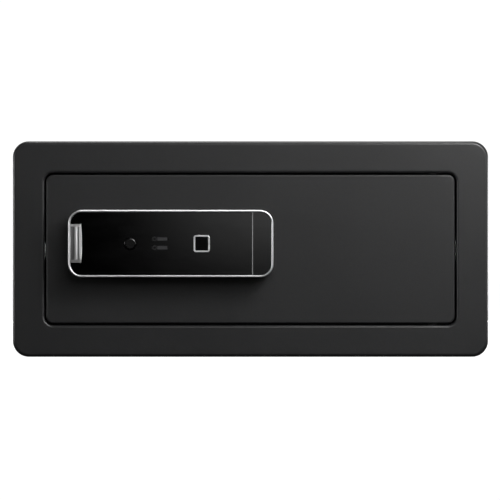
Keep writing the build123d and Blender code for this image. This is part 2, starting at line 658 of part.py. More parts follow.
def pinion_outline(steps=4):
    """Spur gear with involute flanks and a tooth on its +Y side."""
    base_r = PITCH_R * cos(PRESSURE)
    outer_r, root_r = PITCH_R + MODULE, PITCH_R - 1.25 * MODULE
    half_pitch = pi / (2 * TEETH) - BACKLASH / (2 * PITCH_R)
    radii = [base_r + (outer_r - base_r) * i / steps for i in range(steps + 1)]
    half = [(r, half_pitch + involute(PITCH_R, base_r) - involute(r, base_r)) for r in radii]
    half.insert(0, (root_r, half[0][1]))
    points = []
    for tooth in range(TEETH):
        middle = pi / 2 + 2 * pi * tooth / TEETH
        side = [(r, middle - a) for r, a in half] + [(r, middle + a) for r, a in reversed(half)]
        points += [(r * cos(a), r * sin(a)) for r, a in side]
    return make_face(Polyline(*points, close=True))


def drive_pinion():
    base = Pos(MOTOR_X, FRONT_Y + MOTOR_DEPTH, MID_Z + GEAR_BASE)
    pinion = base * extrude(pinion_outline(), GEAR_W)
    pinion += post(5.5, MID_Z + GEAR_BASE + GEAR_W, MID_Z + GEAR_BASE + GEAR_W + 3, MOTOR_X, MOTOR_DEPTH)
    return pinion - post(SHAFT_R, MID_Z - 20, MID_Z + 20, MOTOR_X, MOTOR_DEPTH)


def motor_shaft():
    return post(SHAFT_R, MID_Z + GEAR_BASE - 12, MID_Z + GEAR_BASE + GEAR_W + 4, MOTOR_X, MOTOR_DEPTH)


def drive_rack():
    """Straight rack on the front of the carriage, with a tooth space opposite the pinion."""
    pitch = pi * MODULE
    count = int(BOLT_THROW / pitch) + 7
    root = RACK_PITCH_DEPTH + 1.25 * MODULE
    tip = RACK_PITCH_DEPTH - MODULE
    half_tip = pitch / 4 - MODULE * tan(PRESSURE) - BACKLASH / 4
    half_root = pitch / 4 + 1.25 * MODULE * tan(PRESSURE) - BACKLASH / 4
    points = []
    first = MOTOR_X - 2.5 * pitch
    for tooth in range(count):
        x = first + tooth * pitch
        points += [(x - half_root, root), (x - half_tip, tip), (x + half_tip, tip), (x + half_root, root)]
    right, left = first + (count - 1) * pitch + 2, first - 2
    points += [(right, root), (right, CARRIAGE_NEAR), (left, CARRIAGE_NEAR), (left, root)]
    outline = make_face(Polyline(*points, close=True))
    return Pos(0, FRONT_Y, MID_Z + GEAR_BASE) * extrude(outline, GEAR_W)


def gear_motor():
    """Small gearbox with its motor below it."""
    top = MOTOR_TOP
    motor = post(MOTOR_R, top - 18, top, MOTOR_X, MOTOR_DEPTH)
    motor += post(MOTOR_R - 0.6, top - 38, top - 18, MOTOR_X, MOTOR_DEPTH)
    motor += post(3.0, top - 40, top - 38, MOTOR_X, MOTOR_DEPTH)
    for side in (-1, 1):
        terminal = block(MOTOR_X + side * 5 - 0.3, MOTOR_X + side * 5 + 0.3, MOTOR_DEPTH - 1, MOTOR_DEPTH + 1,
                         top - 41.5, top - 38)
        motor += terminal
    return motor - post(SHAFT_R + RUNNING, top - 10, top + 1, MOTOR_X, MOTOR_DEPTH)


def motor_screw_places():
    return [(MOTOR_X - 7, MOTOR_TOP - 14), (MOTOR_X + 7, MOTOR_TOP - 14)]


def motor_bracket():
    """Angle bracket between the door and the motor's gearbox."""
    shelf = block(MOTOR_X - 11, MOTOR_X + 11, DOOR_T, MOTOR_DEPTH + 7, MOTOR_TOP, MOTOR_TOP + BRACKET_T)
    foot = block(MOTOR_X - 11, MOTOR_X + 11, DOOR_T, DOOR_T + BRACKET_T, MOTOR_TOP - 20, MOTOR_TOP + 1)
    bracket = shelf + foot
    bracket -= post(SHAFT_R + 0.5, MOTOR_TOP - 1, MOTOR_TOP + 3, MOTOR_X, MOTOR_DEPTH)
    for x, z in motor_screw_places():
        bracket -= rod(1.6, DOOR_T - 1, DOOR_T + BRACKET_T + 1, x, z)
    return bracket


def motor_screws():
    seat = DOOR_T + BRACKET_T
    return Compound(children=[screw(x, z, seat, DOOR_T, 2.9, 1.45, 1.8) for x, z in motor_screw_places()])


# ---- electronics --------------------------------------------------------------------------------
def board_corners():
    return [(BOARD_X + sx * (BOARD_W / 2 - 4), MID_Z + sz * (BOARD_H / 2 - 4)) for sx in (-1, 1) for sz in (-1, 1)]


def control_board():
    board = slab(RectangleRounded(BOARD_W, BOARD_H, 2.0), BOARD_NEAR, BOARD_NEAR + BOARD_T, BOARD_X)
    for x, z in board_corners():
        board -= rod(1.6, BOARD_NEAR - 1, BOARD_NEAR + BOARD_T + 1, x, z)
    return board


def board_standoffs():
    pieces = []
    for x, z in board_corners():
        standoff = slab(RegularPolygon(3.2, 6), DOOR_T, BOARD_NEAR, x, z)
        standoff += rod(1.5, BOARD_NEAR, BOARD_NEAR + BOARD_T, x, z)
        pieces.append(standoff + rod(2.8, BOARD_NEAR + BOARD_T, BOARD_NEAR + BOARD_T + 1.6, x, z))
    return Compound(children=pieces)


def control_components():
    far = BOARD_NEAR + BOARD_T
    pieces = [block(BOARD_X - 8, BOARD_X + 8, far, far + 2, MID_Z - 12, MID_Z + 4)]
    for x in (BOARD_X - 9, BOARD_X, BOARD_X + 9):
        pieces.append(rod(3.2, far, far + 9, x, MID_Z - 26))
        pieces.append(block(x - 3.6, x + 3.6, far, far + 6, MID_Z - 38, MID_Z - 32))
    pieces.append(rod(6.0, far, far + 8, BOARD_X - 7, MID_Z + 15))
    pieces.append(block(BOARD_X - 3.1, BOARD_X + 3.1, far, far + 6, MID_Z + RESET_Z - 3.1, MID_Z + RESET_Z + 3.1))
    return Compound(children=pieces)


def reset_button():
    """Long push rod that reaches from the switch on the board through the inner cover."""
    seat = BOARD_NEAR + BOARD_T + 6.0 + RESET_TRAVEL + 0.1
    button = rod(2.9, CASE_D - 1.2, CASE_D + COVER_T + 0.6, BOARD_X, MID_Z + RESET_Z)
    button = fillet(button.edges().group_by(Axis.Y)[-1], 0.5)
    button += rod(4.4, CASE_D - 1.6, CASE_D - 0.1, BOARD_X, MID_Z + RESET_Z)
    return button + rod(1.8, seat, CASE_D - 1.5, BOARD_X, MID_Z + RESET_Z)


# ---- batteries ----------------------------------------------------------------------------------
def cell_rows():
    """Height of each cell's axis and the side its positive end is on."""
    rows = []
    for row in range(CELL_COUNT):
        rows.append((MID_Z + (row - (CELL_COUNT - 1) / 2) * CELL_PITCH, 1 if row % 2 else -1))
    return rows


def battery_tray():
    tray = slab(RectangleRounded(BAY_W - 0.2, BAY_H - 0.2, 3.0), BAY_NEAR, BAY_FACE, BATTERY_X)
    tray += slab(RectangleRounded(BAY_W + 2 * BAY_FLANGE, BAY_H + 2 * BAY_FLANGE, 4.0), CASE_D - 1.5, CASE_D,
                 BATTERY_X)
    return tray - slab(RectangleRounded(INNER_W, INNER_H, 1.5), BAY_NEAR + 1.5, BAY_FACE + 1, BATTERY_X)


def battery_cells():
    pieces = []
    for z, positive in cell_rows():
        shift = -positive * 1.1
        cell = bar(CELL_R, BATTERY_X + shift - CELL_L / 2, BATTERY_X + shift + CELL_L / 2, CELL_DEPTH, z)
        cell = fillet(cell.edges().filter_by(GeomType.CIRCLE), 0.5)
        end = BATTERY_X + shift + positive * CELL_L / 2
        pieces.append(cell + bar(2.7, *sorted((end, end + positive)), CELL_DEPTH, z))
    return Compound(children=pieces)


def battery_contacts():
    """Plates at both ends of each cell."""
    pieces = []
    for z, _ in cell_rows():
        for side in (-1, 1):
            wall = BATTERY_X + side * INNER_W / 2
            left, right = sorted((wall, wall - side * 0.5))
            pieces.append(block(left, right, CELL_DEPTH - 5, CELL_DEPTH + 5, z - 5, z + 5))
    return Compound(children=pieces)


def battery_springs():
    """Coil springs that press on the flat end of each cell."""
    pieces = []
    for z, positive in cell_rows():
        wire = 0.35
        plate = BATTERY_X - positive * (INNER_W / 2 - 0.5)
        flat_end = BATTERY_X - positive * (1.1 + CELL_L / 2)
        length = abs(plate - flat_end) - 2 * wire - 0.04
        helix = Helix(length / 2.5, length, 3.0)
        coil = sweep(Plane(origin=helix @ 0, z_dir=helix % 0) * Circle(wire), path=helix)
        start = min(plate, flat_end) + wire + 0.02
        pieces.append(Pos(start, FRONT_Y + CELL_DEPTH, z) * Rot(0, 90, 0) * coil)
    return Compound(children=pieces)


def battery_cover():
    """Lift-out lid with a thumb recess and ribs across it."""
    face = CASE_D + COVER_T
    lid = slab(RectangleRounded(INNER_W - 0.4, INNER_H - 0.4, 1.3), face - 1.7, face, BATTERY_X)
    lid -= slab(SlotOverall(20, 7), face - 0.8, face + 1, BATTERY_X, MID_Z + INNER_H / 2 - 8)
    for rib in range(5):
        z = MID_Z - INNER_H / 2 + 8 + rib * 4
        lid += block(BATTERY_X - 16, BATTERY_X + 16, face - 0.1, face + 0.5, z - 0.6, z + 0.6)
    return lid


PIECES = [
    front_frame, door_jamb, body_wrap, back_panel, floor_mat, hinge_brackets, hinge_bushings, strike_bar, door_stops,
    stop_buffers,
    door_panel, hinge_blocks, hinge_pins, lock_case, case_end_plate, inner_cover, inner_cover_screws,
    panel_gasket, panel_housing, chrome_bezel, touch_glass, divider_strip, finger_pull, sensor_frame,
    fingerprint_sensor, status_lenses, keypad_board, keypad_components, housing_screws,
    key_cylinder, cylinder_nut, key_plug, cam_arm, cam_screw, end_cap, wake_button,
    bolt_guides, guide_posts, guide_washers, locking_bolts, bolt_nuts, bolt_carriage, drive_rack,
    drive_pinion, motor_shaft, gear_motor, motor_bracket, motor_screws,
    control_board, board_standoffs, control_components, reset_button,
    battery_tray, battery_cells, battery_contacts, battery_springs, battery_cover,
]

os.makedirs("parts", exist_ok=True)
for piece in PIECES:
    export_step(piece(), "parts/" + piece.__name__ + ".step")
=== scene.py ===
"""Looks, light and camera for the gun safe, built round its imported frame."""

import math

import bpy
import numpy as np
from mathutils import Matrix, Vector


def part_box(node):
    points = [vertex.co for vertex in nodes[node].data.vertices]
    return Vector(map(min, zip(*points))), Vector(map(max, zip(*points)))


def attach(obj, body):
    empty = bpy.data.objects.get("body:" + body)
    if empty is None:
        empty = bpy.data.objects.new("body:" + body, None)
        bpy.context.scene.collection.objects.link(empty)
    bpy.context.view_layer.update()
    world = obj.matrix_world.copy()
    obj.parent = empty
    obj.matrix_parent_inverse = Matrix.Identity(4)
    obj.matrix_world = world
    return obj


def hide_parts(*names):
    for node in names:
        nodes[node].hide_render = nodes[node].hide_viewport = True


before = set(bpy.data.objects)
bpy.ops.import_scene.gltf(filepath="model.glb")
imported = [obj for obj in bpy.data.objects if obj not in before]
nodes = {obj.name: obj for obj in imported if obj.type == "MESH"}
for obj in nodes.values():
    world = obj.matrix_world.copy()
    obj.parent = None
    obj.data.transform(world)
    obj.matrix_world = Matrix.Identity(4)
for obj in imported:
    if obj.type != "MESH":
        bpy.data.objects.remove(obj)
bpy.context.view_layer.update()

# ---- places that several things use ---------------------------------------------------------------
front_low, front_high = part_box("front_frame")
FRONT_Y = front_low[1]
MID_Z = (front_low[2] + front_high[2]) / 2


# ---- material building blocks ---------------------------------------------------------------------
class Surface:
    """A material whose pattern is made of nodes placed by the object's own coordinates, in metres."""

    def __init__(self, name, rough, metal=0.0, **fixed):
        self.material = bpy.data.materials.new(name)
        self.material.use_nodes = True
        self.tree = self.material.node_tree
        self.shader = self.tree.nodes["Principled BSDF"]
        self.shader.inputs["Roughness"].default_value = rough
        self.shader.inputs["Metallic"].default_value = metal
        for socket, value in fixed.items():
            self.shader.inputs[socket.replace("_", " ")].default_value = value
        self.place = self.node("ShaderNodeTexCoord").outputs["Object"]
        self.height = None

    def node(self, kind, **settings):
        made = self.tree.nodes.new(kind)
        for key, value in settings.items():
            setattr(made, key, value)
        return made

    def link(self, source, target):
        self.tree.links.new(source, target)

    def stretched(self, x=1.0, y=1.0, z=1.0):
        """The object's coordinates, scaled along each axis."""
        mapping = self.node("ShaderNodeMapping")
        mapping.inputs["Scale"].default_value = (x, y, z)
        self.link(self.place, mapping.inputs["Vector"])
        return mapping.outputs["Vector"]

    def noise(self, scale, detail=3.0, rough=0.55, where=None):
        made = self.node("ShaderNodeTexNoise")
        made.inputs["Scale"].default_value = scale
        made.inputs["Detail"].default_value = detail
        made.inputs["Roughness"].default_value = rough
        self.link(where or self.place, made.inputs["Vector"])
        return made.outputs["Fac"]

    def cells(self, scale, where=None):
        """Distance from the middle of the nearest of many small cells."""
        made = self.node("ShaderNodeTexVoronoi")
        made.inputs["Scale"].default_value = scale
        self.link(where or self.place, made.inputs["Vector"])
        return made.outputs["Distance"]

    def ramp(self, value, *stops):
        """A colour for each level of a value. Stops are (level, colour)."""
        made = self.node("ShaderNodeValToRGB")
        elements = made.color_ramp.elements
        while len(elements) < len(stops):
            elements.new(1.0)
        for element, (level, colour) in zip(elements, stops):
            element.position = level
            element.color = (*colour, 1.0)
        self.link(value, made.inputs["Fac"])
        return made.outputs["Color"]

    def span(self, value, low, high, source=(0.3, 0.7)):
        """The value moved from its source range to low and high."""
        made = self.node("ShaderNodeMapRange")
        made.inputs["From Min"].default_value = source[0]
        made.inputs["From Max"].default_value = source[1]
        made.inputs["To Min"].default_value = low
        made.inputs["To Max"].default_value = high
        self.link(value, made.inputs["Value"])
        return made.outputs["Result"]

    def math(self, operation, first, second):
        made = self.node("ShaderNodeMath", operation=operation)
        for socket, value in zip(made.inputs, (first, second)):
            if isinstance(value, (int, float)):
                socket.default_value = value
            else:
                self.link(value, socket)
        return made.outputs["Value"]

    def mix(self, factor, first, second):
        """first where factor is 0 and second where it is 1. Both are colours."""
        made = self.node("ShaderNodeMix", data_type="RGBA")
        self.link(factor, made.inputs["Factor"])
        for socket, value in ((made.inputs[6], first), (made.inputs[7], second)):
            if isinstance(value, tuple):
                socket.default_value = (*value, 1.0)
            else:
                self.link(value, socket)
        return made.outputs[2]

    def axis(self, name):
        """One of the object's coordinates, X, Y or Z."""
        made = self.node("ShaderNodeSeparateXYZ")
        self.link(self.place, made.inputs["Vector"])
        return made.outputs[name]

    def colour(self, source):
        self.link(source, self.shader.inputs["Base Color"])

    def roughness(self, source):
        self.link(source, self.shader.inputs["Roughness"])

    def bump(self, height, strength, distance):
        """Adds a layer of relief. The distance is in metres."""
        made = self.node("ShaderNodeBump")
        made.inputs["Strength"].default_value = strength
        made.inputs["Distance"].default_value = distance
        self.link(height, made.inputs["Height"])
        if self.height is not None:
            self.link(self.height, made.inputs["Normal"])
        self.height = made.outputs["Normal"]
        self.link(self.height, self.shader.inputs["Normal"])


def wear(*piece_names, material):
    """Gives CAD nodes a material in place of their plain one."""
    for name in piece_names:
        mesh = nodes[name].data
        if not mesh.materials:
            mesh.materials.append(material)
        for slot in range(len(mesh.materials)):
            mesh.materials[slot] = material


def scaled(colour, factor):
    return tuple(c * factor for c in colour)


def grey(level):
    return (level, level, level)


# ---- materials --------------------------------------------------------------------------------------
def powder_coat(name, base, rough, spec, coat=0.0):
    """Baked powder paint: fine pebbled grain over a faint orange peel."""
    s = Surface(name, rough, Specular_IOR_Level=spec, Coat_Weight=coat, Coat_Roughness=0.20)
    fine = s.noise(1700, 2.0, 0.6)
    peel = s.noise(260, 2.0, 0.5)
    cloud = s.noise(9, 3.0, 0.6)
    dark = s.ramp(fine, (0.35, scaled(base, 0.8)), (0.65, scaled(base, 1.15)))
    light = s.ramp(fine, (0.35, scaled(base, 0.9)), (0.65, scaled(base, 1.3)))
    s.colour(s.mix(s.span(cloud, 0.0, 1.0), dark, light))
    s.roughness(s.math("ADD", s.span(fine, rough - 0.05, rough + 0.05), s.span(cloud, -0.015, 0.02)))
    s.bump(peel, 0.10, 0.0006)
    s.bump(fine, 0.22, 0.00025)
    return s.material


def brushed(name, base, rough, along):
    """Metal with fine lines that run along one axis."""
    s = Surface(name, rough, 1.0)
    stretch = {"X": (30, 1500, 1500), "Y": (1500, 30, 1500), "Z": (1500, 1500, 30)}[along]
    lines = s.noise(1.0, 4.0, 0.7, s.stretched(*stretch))
    cloud = s.noise(45, 3.0, 0.6)
    dark = s.ramp(lines, (0.3, scaled(base, 0.82)), (0.7, base))
    light = s.ramp(lines, (0.3, scaled(base, 0.9)), (0.7, scaled(base, 1.06)))
    s.colour(s.mix(s.span(cloud, 0.0, 1.0), dark, light))
    s.roughness(s.span(lines, rough - 0.07, rough + 0.08))
    s.bump(lines, 0.12, 0.00008)
    return s.material


# Painted light and shade across the grip's width, from its left edge at 0 to its right edge at 1: painted
# highlight on the rib and edges, painted shade in the hollow and groove.
GRIP_PAINTED_LIGHT = (
    (0.00, 0.70),                  # left edge
    (0.05, 0.29), (0.33, 0.27),    # hollow
    (0.37, 1.00), (0.57, 1.00),    # rib
    (0.62, 0.34), (0.79, 0.38),    # groove
    (0.84, 0.85), (1.00, 0.85),    # right edge
)
# The end patches are painted light: lighter at the top end, darker at the bottom end.
GRIP_END = (0.415, 0.445)     # where its end patches start, as a share of its height from the middle


def grip(name, low, high):
    """Brushed metal between two corners, with painted highlight on the rib and edges, painted shade in the
    hollow and groove, painted light on its end patches and painted shade towards the bottom.
    """
    s = Surface(name, 0.34, 1.0)
    lines = s.noise(1.0, 4.0, 0.7, s.stretched(1500, 1500, 30))
    across = s.span(s.axis("X"), 0.0, 1.0, (low[0], high[0]))
    up = s.span(s.axis("Z"), 0.0, 1.0, (low[2], high[2]))
    # Painted highlight on the rib and edges, painted shade in the hollow and groove.
    painted_light_across = s.ramp(across, *((place, grey(level)) for place, level in GRIP_PAINTED_LIGHT))
    # Painted light on the end patches, lighter towards the top.
    ends = s.ramp(up, (0.0, grey(0.55)), (0.5, grey(0.7)), (1.0, grey(0.85)))
    from_middle = s.math("ABSOLUTE", s.math("SUBTRACT", up, 0.5), 0.0)
    patched = s.mix(s.span(from_middle, 0.0, 1.0, GRIP_END), painted_light_across, ends)
    # Painted shade: the colour darkens towards the bottom, by up to a quarter.
    painted_bottom_shade = s.mix(s.span(up, 0.25, 0.0, (0.0, 0.8)), patched, grey(0.0))
    s.colour(s.mix(s.span(lines, 0.18, 0.0), painted_bottom_shade, grey(0.0)))
    s.roughness(s.span(lines, 0.27, 0.42))
    s.bump(lines, 0.12, 0.00008)
    return s.material


def zinc(name):
    """Zinc-plated sheet with its blotchy bluish bloom and rolling marks."""
    s = Surface(name, 0.36, 1.0)
    bloom = s.noise(38, 4.0, 0.6)
    lines = s.noise(1.0, 3.0, 0.6, s.stretched(40, 900, 900))
    tint = s.ramp(bloom, (0.3, (0.42, 0.43, 0.44)), (0.5, (0.58, 0.59, 0.60)), (0.72, (0.66, 0.64, 0.58)))
    s.colour(s.mix(s.span(lines, 0.0, 0.5), tint, (0.50, 0.50, 0.49)))
    s.roughness(s.span(bloom, 0.28, 0.44))
    s.bump(lines, 0.10, 0.00006)
    return s.material


def polished(name, base, rough):
    """Plated metal with faint polishing haze."""
    s = Surface(name, rough, 1.0)
    haze = s.noise(120, 4.0, 0.65)
    scratch = s.noise(1.0, 3.0, 0.7, s.stretched(2200, 400, 90))
    s.colour(s.ramp(haze, (0.3, scaled(base, 0.94)), (0.7, base)))
    s.roughness(s.math("ADD", s.span(haze, rough * 0.88, rough * 1.12), s.span(scratch, -0.01, 0.015)))
    s.bump(scratch, 0.012, 0.00002)
    return s.material


def moulded(name, base, rough, grain=900, depth=0.00012, spec=0.5):
    """Moulded plastic or rubber with a fine spark-eroded grain."""
    s = Surface(name, rough, Specular_IOR_Level=spec)
    fine = s.cells(grain)
    cloud = s.noise(30, 3.0, 0.6)
    s.colour(s.ramp(cloud, (0.3, scaled(base, 0.85)), (0.7, scaled(base, 1.15))))
    s.roughness(s.span(cloud, rough - 0.04, rough + 0.05))
    s.bump(fine, 0.25, depth)
    return s.material


def gloss_black(name, base, rough, spec=0.5):
    """Glossy black face: faint smears and dust on a polished surface."""
    s = Surface(name, rough, Specular_IOR_Level=spec)
    smear = s.noise(1.0, 4.0, 0.65, s.stretched(30, 30, 70))
    dust = s.noise(2600, 1.0, 0.4)
    smeared = s.ramp(smear, (0.3, scaled(base, 0.8)), (0.7, scaled(base, 1.2)))
    s.colour(s.mix(s.span(dust, 0.0, 0.25, (0.70, 0.80)), smeared, scaled(base, 4.0)))
    s.roughness(s.span(smear, rough * 0.8, rough * 1.4))
    s.bump(smear, 0.02, 0.0002)
    return s.material


def circuit(name):
    """Green board with copper runs under the mask, and pale pads."""
    s = Surface(name, 0.35, Coat_Weight=0.3, Coat_Roughness=0.2)
    flat = s.stretched(1, 0, 1)
    runs = s.node("ShaderNodeTexBrick", offset=0.37, squash=0.6)
    runs.inputs["Scale"].default_value = 130
    runs.inputs["Mortar Size"].default_value = 0.09
    swap = s.node("ShaderNodeCombineXYZ")
    s.link(s.axis("X"), swap.inputs["X"])
    s.link(s.axis("Z"), swap.inputs["Y"])
    s.link(swap.outputs["Vector"], runs.inputs["Vector"])
    pads = s.cells(420, flat)
    mask = s.ramp(s.noise(60), (0.3, (0.006, 0.055, 0.022)), (0.7, (0.010, 0.085, 0.034)))
    track = s.mix(s.span(runs.outputs["Fac"], 0.0, 1.0, (0.0, 1.0)), mask, (0.020, 0.150, 0.055))
    s.colour(s.mix(s.span(pads, 1.0, 0.0, (0.13, 0.16)), track, (0.55, 0.52, 0.40)))
    s.bump(runs.outputs["Fac"], 0.2, 0.00005)
    return s.material


def brass_like(name, base, rough):
    """Turned metal with a light tarnish."""
    s = Surface(name, rough, 1.0)
    turned = s.noise(1.0, 3.0, 0.6, s.stretched(1500, 60, 1500))
    tarnish = s.noise(90, 4.0, 0.6)
    s.colour(s.ramp(tarnish, (0.3, scaled(base, 0.72)), (0.65, base)))
    s.roughness(s.span(tarnish, rough + 0.08, rough - 0.04))
    s.bump(turned, 0.08, 0.00005)
    return s.material


CELL_PITCH = 0.0152           # from one battery's axis to the next
CELL_HALF = 0.0246            # half a battery's length
CELL_BAND = 0.0130            # length of the coloured band
CELL_BARE = 0.0010            # length of the bare metal at each end
CELL_FADE = 0.0002


def cell_jacket(name, centre):
    """Printed sleeve of a battery: dark, a copper-coloured band at one end, bare metal at both ends."""
    s = Surface(name, 0.28, Coat_Weight=0.5, Coat_Roughness=0.08)
    row = s.node("ShaderNodeMath", operation="PINGPONG")
    s.link(s.math("SUBTRACT", s.axis("Z"), MID_Z), row.inputs[0])
    row.inputs[1].default_value = CELL_PITCH
    odd = s.math("GREATER_THAN", row.outputs[0], CELL_PITCH / 2)
    side = s.math("SUBTRACT", s.axis("X"), centre)
    signed = s.math("MULTIPLY", side, s.math("SUBTRACT", s.math("MULTIPLY", odd, 2.0), 1.0))
    band_end, bare_end = CELL_HALF - CELL_BAND, CELL_HALF - CELL_BARE
    band = s.span(signed, 0.0, 1.0, (band_end - CELL_FADE, band_end))
    print_noise = s.noise(160, 3.0, 0.5)
    body = s.ramp(print_noise, (0.3, (0.010, 0.011, 0.013)), (0.7, (0.018, 0.019, 0.022)))
    copper = s.ramp(print_noise, (0.3, (0.42, 0.17, 0.06)), (0.7, (0.52, 0.23, 0.09)))
    bare = s.span(s.math("ABSOLUTE", side, 0.0), 0.0, 1.0, (bare_end - CELL_FADE, bare_end))
    s.colour(s.mix(bare, s.mix(band, body, copper), (0.60, 0.60, 0.58)))
    s.link(bare, s.shader.inputs["Metallic"])
    s.bump(print_noise, 0.05, 0.00005)
    return s.material


# A status lens. Each pair is where a mark starts and ends its fading, from the mark's own middle line.
LENS_HALF = 0.00225           # half the height of one lens
BAR_X = 0.0022                # middle of the bar, to the right of the middle of the lens
BAR_HALF_X = (0.0042, 0.0048)
BAR_HALF_Z = (0.0011, 0.0018)
RING_X = 0.0048               # middle of the ring, to the left of the middle of the lens
RING_R = 0.0016
RING_HALF = (0.0002, 0.0006)


def lens_print(name, low, high):
    """Two smoked lenses, one above the other, each with a faint ring and a pale bar to the right of it."""
    s = Surface(name, 0.22)
    x = s.math("SUBTRACT", s.axis("X"), (low[0] + high[0]) / 2)
    z = s.axis("Z")
    lower = s.math("SUBTRACT", z, low[2] + LENS_HALF)
    upper = s.math("SUBTRACT", z, high[2] - LENS_HALF)
    off_z = s.math("MINIMUM", s.math("ABSOLUTE", lower, 0.0), s.math("ABSOLUTE", upper, 0.0))
    off_bar = s.math("ABSOLUTE", s.math("SUBTRACT", x, BAR_X), 0.0)
    in_bar = s.math("MULTIPLY", s.span(off_bar, 1.0, 0.0, BAR_HALF_X), s.span(off_z, 1.0, 0.0, BAR_HALF_Z))
    ring_x = s.math("ADD", x, RING_X)
    radius = s.math("SQRT", s.math("ADD", s.math("POWER", ring_x, 2.0), s.math("POWER", off_z, 2.0)), 0.0)
    off_ring = s.math("ABSOLUTE", s.math("SUBTRACT", radius, RING_R), 0.0)
    in_ring = s.span(off_ring, 1.0, 0.0, RING_HALF)
    grain = s.noise(1500, 2.0, 0.5)
    back = s.ramp(grain, (0.3, (0.0015, 0.0015, 0.0016)), (0.7, (0.003, 0.003, 0.0032)))
    bar = s.ramp(grain, (0.3, (0.030, 0.030, 0.031)), (0.7, (0.048, 0.048, 0.050)))
    with_ring = s.mix(s.math("MULTIPLY", in_ring, 0.35), back, (0.05, 0.05, 0.052))
    s.colour(s.mix(in_bar, with_ring, bar))
    return s.material


def sensor_face(name):
    """Matt black capacitive pad with a fine square grid."""
    s = Surface(name, 0.42, Specular_IOR_Level=0.04)
    grid = s.node("ShaderNodeTexChecker")
    grid.inputs["Scale"].default_value = 2600
    s.link(s.place, grid.inputs["Vector"])
    dark, light = (0.0010, 0.0010, 0.0011), (0.0022, 0.0022, 0.0024)
    s.colour(s.ramp(grid.outputs["Fac"], (0.2, dark), (0.8, light)))
    s.bump(grid.outputs["Fac"], 0.1, 0.00004)
    return s.material


def carpet(name):
    """Short grey needle felt: tangled fibres, tufts and a cloudy shade."""
    s = Surface(name, 0.95, Specular_IOR_Level=0.15, Sheen_Weight=0.35, Sheen_Roughness=0.5)
    fibre = s.noise(1.0, 5.0, 0.8, s.stretched(1400, 900, 1400))
    tuft = s.cells(520)
    shade = s.noise(24, 3.0, 0.6)
    levels = (0.25, 0.5, 0.75)
    dark = s.ramp(fibre, *zip(levels, ((0.012, 0.012, 0.013), (0.035, 0.035, 0.038), (0.085, 0.086, 0.092))))
    light = s.ramp(fibre, *zip(levels, ((0.018, 0.018, 0.020), (0.050, 0.050, 0.054), (0.120, 0.121, 0.128))))
    s.colour(s.mix(s.span(shade, 0.0, 1.0), dark, light))
    s.bump(tuft, 0.5, 0.0008)
    s.bump(fibre, 0.9, 0.0007)
    return s.material


PAINT = powder_coat("charcoal_powder_coat", (0.0130, 0.0131, 0.0136), 0.37, 0.42, 0.30)
INNER = powder_coat("inner_paint", (0.020, 0.0205, 0.022), 0.52, 0.40)
ZINC = zinc("zinc_plate")
BOLT = brushed("turned_steel", (0.66, 0.67, 0.68), 0.20, "X")
CHROME = polished("bezel_chrome", (0.95, 0.95, 0.96), 0.34)
HOUSING = moulded("panel_housing_plastic", (0.010, 0.010, 0.011), 0.50)
GLASS = gloss_black("panel_gloss", (0.0004, 0.0004, 0.0005), 0.045)
CAP = gloss_black("cap_gloss", (0.0006, 0.0006, 0.0007), 0.05)
BUTTON = gloss_black("button_gloss", (0.0016, 0.0016, 0.0017), 0.12)
RUBBER = moulded("black_rubber", (0.012, 0.012, 0.012), 0.72, 700, 0.0002, 0.3)
BUSH = moulded("bush_plastic", (0.004, 0.004, 0.004), 0.60, spec=0.12)
PLASTIC = moulded("black_plastic", (0.022, 0.022, 0.023), 0.48, 1100, 0.0001)
BOARD = circuit("circuit_board")
BRASS = brass_like("brass", (0.62, 0.44, 0.18), 0.28)
SCREW = polished("black_zinc_screw", (0.20, 0.20, 0.21), 0.30)
CAN = brushed("motor_can", (0.55, 0.55, 0.56), 0.32, "Z")
SPRING = polished("spring_steel", (0.62, 0.62, 0.60), 0.22)

wear("front_frame", "door_jamb", "body_wrap", "back_panel", "door_stops", "door_panel", material=PAINT)
wear("lock_case", "case_end_plate", "inner_cover", material=INNER)
wear("strike_bar", "hinge_brackets", "hinge_blocks", "cylinder_nut", "cam_arm", "bolt_nuts", "bolt_carriage",
     "guide_posts", "guide_washers", "drive_rack", "motor_bracket", "battery_contacts", material=ZINC)
wear("locking_bolts", "motor_shaft", material=BOLT)
wear("chrome_bezel", material=CHROME)
wear("sensor_frame", material=polished("sensor_chrome", (0.86, 0.86, 0.87), 0.42))
wear("divider_strip", material=polished("strip_metal", (0.50, 0.50, 0.51), 0.38))
wear("finger_pull", material=grip("grip_metal", *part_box("finger_pull")))
wear("panel_housing", material=HOUSING)
wear("touch_glass", material=GLASS)
wear("end_cap", material=CAP)
wear("wake_button", material=BUTTON)
wear("stop_buffers", "panel_gasket", "reset_button", material=RUBBER)
wear("hinge_bushings", "bolt_guides", material=BUSH)
wear("battery_tray", "battery_cover", "control_components", "keypad_components", material=PLASTIC)
wear("keypad_board", "control_board", material=BOARD)
wear("key_cylinder", "key_plug", "drive_pinion", "board_standoffs", material=BRASS)
wear("inner_cover_screws", "housing_screws", "motor_screws", "cam_screw", material=SCREW)
wear("hinge_pins", material=moulded("black_oxide", (0.006, 0.006, 0.006), 0.45, spec=0.2))
wear("gear_motor", material=CAN)
wear("battery_springs", material=SPRING)
wear("fingerprint_sensor", material=sensor_face("sensor_face"))

cell_low, cell_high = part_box("battery_cells")
wear("battery_cells", material=cell_jacket("cell_jacket", (cell_low[0] + cell_high[0]) / 2))
wear("status_lenses", material=lens_print("status_lens", *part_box("status_lenses")))


# ---- floor mat --------------------------------------------------------------------------------------
MAT_EDGE = 0.0009             # rounding of the cut edge
MAT_STEP = 0.0022             # size of a face
MAT_CORNER = 0.008            # rounding of the mat's corners
MAT_BORDER = 0.012            # the holes lie further in than this
MAT_LOW = 0.0004              # how far the uneven top lies under the CAD mat's top
MAT_WAVES = 0.0003            # how high its broad waves and its fine grain are
MAT_GRAIN = 0.00012
FIBRES = 4500
FIBRE_HALF = 0.00007          # half a fibre's width
FIBRE_ARCH = (0.0, 0.0005, 0.0006, 0.0001)    # height of each of its four points


